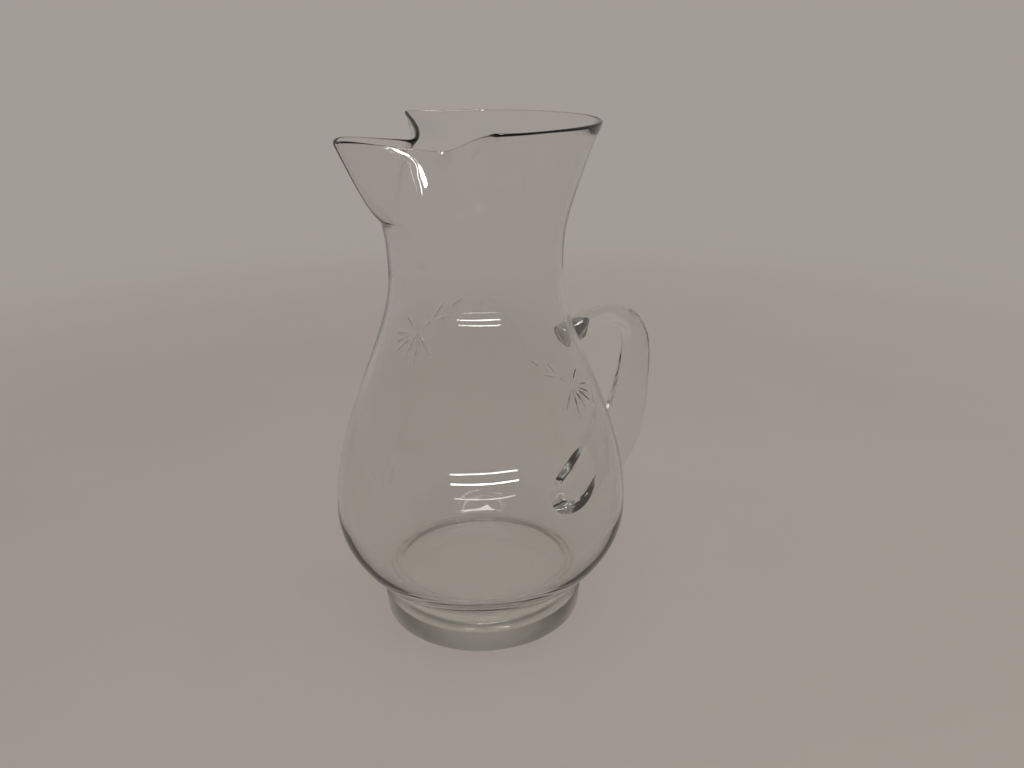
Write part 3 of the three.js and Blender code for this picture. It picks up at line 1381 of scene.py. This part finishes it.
@dataclass
class Pitcher:
    """The whole pitcher: foot, bowl and handle, fused, then cut."""

    seam_space: float = 0.02 * MM
    seam_depth: float = 0.1 * MM

    def build(self) -> list[bpy.types.Object]:
        """Builds and dresses the three pieces.

        Returns:
            Foot, bowl and handle.
        """
        finishes = {finish: finish.value.make() for finish in Finish}
        seam = finishes[Finish.SEAM]
        bowl_plan = Bowl(seat_height=Foot.height + self.seam_space)
        handle_plan = Handle(bowl_plan)
        foot_plan = Foot(bowl_plan.seat_radius)
        foot = foot_plan.build(finishes[Finish.FOOT], seam, finishes[Finish.BASE])
        bowl = bowl_plan.build(finishes[Finish.BOWL], seam)
        handle = handle_plan.build(finishes[Finish.HANDLE])
        rod_end = handle_plan.build(seam, "rod_end")
        outside = bowl_plan.plain_solid("bowl_outside", self.seam_space, seam)
        inside = bowl_plan.plain_solid("bowl_inside", -self.seam_depth, seam)
        pocket = handle_plan.air_pocket(finishes[Finish.POCKET_PAINTED_SHADE])
        wheels = Decoration().wheels(bowl_plan, finishes[Finish.CUT])
        carve(handle, outside)
        carve(handle, pocket)
        carve(rod_end, inside)
        carve(bowl, rod_end)
        carve(bowl, wheels)
        drop(rod_end, outside, inside, pocket, wheels)
        for piece, node in ((foot, "foot"), (bowl, "bowl"), (handle, "handle")):
            mend(piece)
            smooth_shade(piece)
            mount(piece, node)
        return [foot, bowl, handle]


@dataclass(frozen=True)
class Softbox:
    """A soft area lamp that faces a point of the object."""

    name: str
    azimuth: float
    elevation: float
    distance: float
    width: float
    height: float
    radiance: float
    matt_only: bool = False
    gloss_only: bool = False
    seen_in_glass: bool = False
    spread: float = math.pi
    aim: Vector = Vector((0, 0, 0.12))

    def hang(self) -> None:
        """Hangs the lamp, out of the camera's sight."""
        lamp = bpy.data.lights.new(self.name, "AREA")
        lamp.shape = "RECTANGLE"
        lamp.size = self.width
        lamp.size_y = self.height
        lamp.spread = self.spread
        lamp.energy = self.radiance * math.pi * self.width * self.height
        away = towards(self.azimuth, self.elevation)
        hung = bpy.data.objects.new(self.name, lamp)
        facing = away.to_track_quat("Z", "Y").to_matrix().to_4x4()
        hung.matrix_world = Matrix.Translation(self.aim + away * self.distance) @ facing
        hung.visible_camera = False
        hung.visible_transmission = self.seen_in_glass
        hung.visible_glossy = not self.matt_only
        hung.visible_diffuse = not self.gloss_only
        bpy.context.scene.collection.objects.link(hung)


@dataclass
class Studio:
    """Floor, surroundings, lamps and camera."""

    floor_colour: Colour = (0.37, 0.328, 0.292)
    floor_mottle: Colour = (0.348, 0.308, 0.274)
    backdrop: Colour = (0.365, 0.335, 0.31)
    ceiling: Colour = (0.13, 0.121, 0.112)
    ambient: Colour = (0.6, 0.6, 0.6)
    floor_radius: float = 8.0
    floor_level: float = -0.2 * MM
    floor_sides: int = 96
    backdrop_top: float = 0.6
    ceiling_start: float = 0.8
    camera_place: Vector = Vector((-0.1444, -0.3835, 0.2916))
    camera_azimuth: float = math.radians(67)
    camera_pitch: float = math.radians(-22.1)
    camera_roll: float = math.radians(-0.5)
    lens: float = 30.59
    sensor: float = 36.0
    bounces: int = 24
    mirror_bounces: int = 10
    lamps: tuple[Softbox, ...] = (
        Softbox(
            name="top_softbox",
            azimuth=math.radians(-60),
            elevation=math.radians(75),
            distance=1.8,
            width=1.6,
            height=1.6,
            radiance=2.0,
            matt_only=True,
        ),
        Softbox(
            name="upper_strip",
            azimuth=math.radians(-108),
            elevation=math.radians(9.4),
            distance=1.45,
            width=1.4,
            height=0.009,
            radiance=30.0,
        ),
        Softbox(
            name="lower_strip",
            azimuth=math.radians(-108),
            elevation=math.radians(6.5),
            distance=1.45,
            width=1.4,
            height=0.012,
            radiance=40.0,
        ),
        Softbox(
            name="low_strip",
            azimuth=math.radians(-108),
            elevation=math.radians(1.8),
            distance=1.45,
            width=1.2,
            height=0.008,
            radiance=12.0,
        ),
        Softbox(
            name="overhead_lamp",
            azimuth=math.radians(-85),
            elevation=math.radians(84),
            distance=1.5,
            width=0.6,
            height=0.35,
            radiance=15.0,
            gloss_only=True,
            seen_in_glass=True,
        ),
        Softbox(
            name="spout_card",
            azimuth=math.radians(-119),
            elevation=math.radians(6),
            distance=0.3,
            width=0.15,
            height=0.015,
            radiance=12.0,
            gloss_only=True,
            spread=math.radians(40),
            aim=Vector((-0.035, -0.025, 0.236)),
        ),
    )

    def lay_floor(self) -> None:
        """Lays the floor."""
        bm = bmesh.new()
        place = Matrix.Translation((0, 0, self.floor_level))
        bmesh.ops.create_circle(
            bm, cap_ends=True, segments=self.floor_sides, radius=self.floor_radius, matrix=place
        )
        finish = PaleFloor(self.floor_colour, self.floor_mottle, self.backdrop).make()
        make_object("floor", bm, [finish])

    def surround(self) -> None:
        """Sets the world: a pale backdrop all round, a dim ceiling, and even light for matt faces."""
        world = bpy.data.worlds.new("studio")
        bpy.context.scene.world = world
        bench = Bench(world)
        direction = bench.add("ShaderNodeTexCoord", output="Generated")
        height = bench.add("ShaderNodeSeparateXYZ", sockets={"Vector": direction}, output="Z")
        stops = [(self.backdrop_top, self.backdrop), (self.ceiling_start, self.ceiling)]
        room = bench.add("ShaderNodeValToRGB", {"stops": stops}, {"Fac": height})
        colour = bench.mix(bench.seen_directly(), self.ambient, room)
        light = bench.add("ShaderNodeBackground", sockets={"Color": colour, "Strength": 1.0})
        bench.add("ShaderNodeOutputWorld", sockets={"Surface": light})

    def set_camera(self) -> None:
        """Stands the camera where the photographer stood."""
        camera = bpy.data.cameras.new("camera")
        camera.lens = self.lens
        camera.sensor_width = self.sensor
        forward = towards(self.camera_azimuth, self.camera_pitch)
        facing = forward.to_track_quat("-Z", "Y").to_matrix().to_4x4()
        stand = bpy.data.objects.new("camera", camera)
        roll = Matrix.Rotation(self.camera_roll, 4, "Z")
        stand.matrix_world = Matrix.Translation(self.camera_place) @ facing @ roll
        bpy.context.scene.collection.objects.link(stand)
        bpy.context.scene.camera = stand

    def build(self) -> None:
        """Builds the studio and sets how light is counted."""
        self.lay_floor()
        self.surround()
        for lamp in self.lamps:
            lamp.hang()
        self.set_camera()
        scene = bpy.context.scene
        scene.view_settings.view_transform = "Standard"
        scene.cycles.caustics_reflective = False
        scene.cycles.caustics_refractive = False
        scene.cycles.max_bounces = self.bounces
        scene.cycles.glossy_bounces = self.mirror_bounces
        scene.cycles.transmission_bounces = self.bounces
        scene.cycles.transparent_max_bounces = self.bounces


def main() -> None:
    """Builds the pitcher and its studio."""
    logging.basicConfig(level=logging.INFO, format="%(name)s: %(message)s")
    pieces = Pitcher().build()
    LOG.info("%d pieces built", len(pieces))
    Studio().build()


if __name__ == "__main__":
    main()
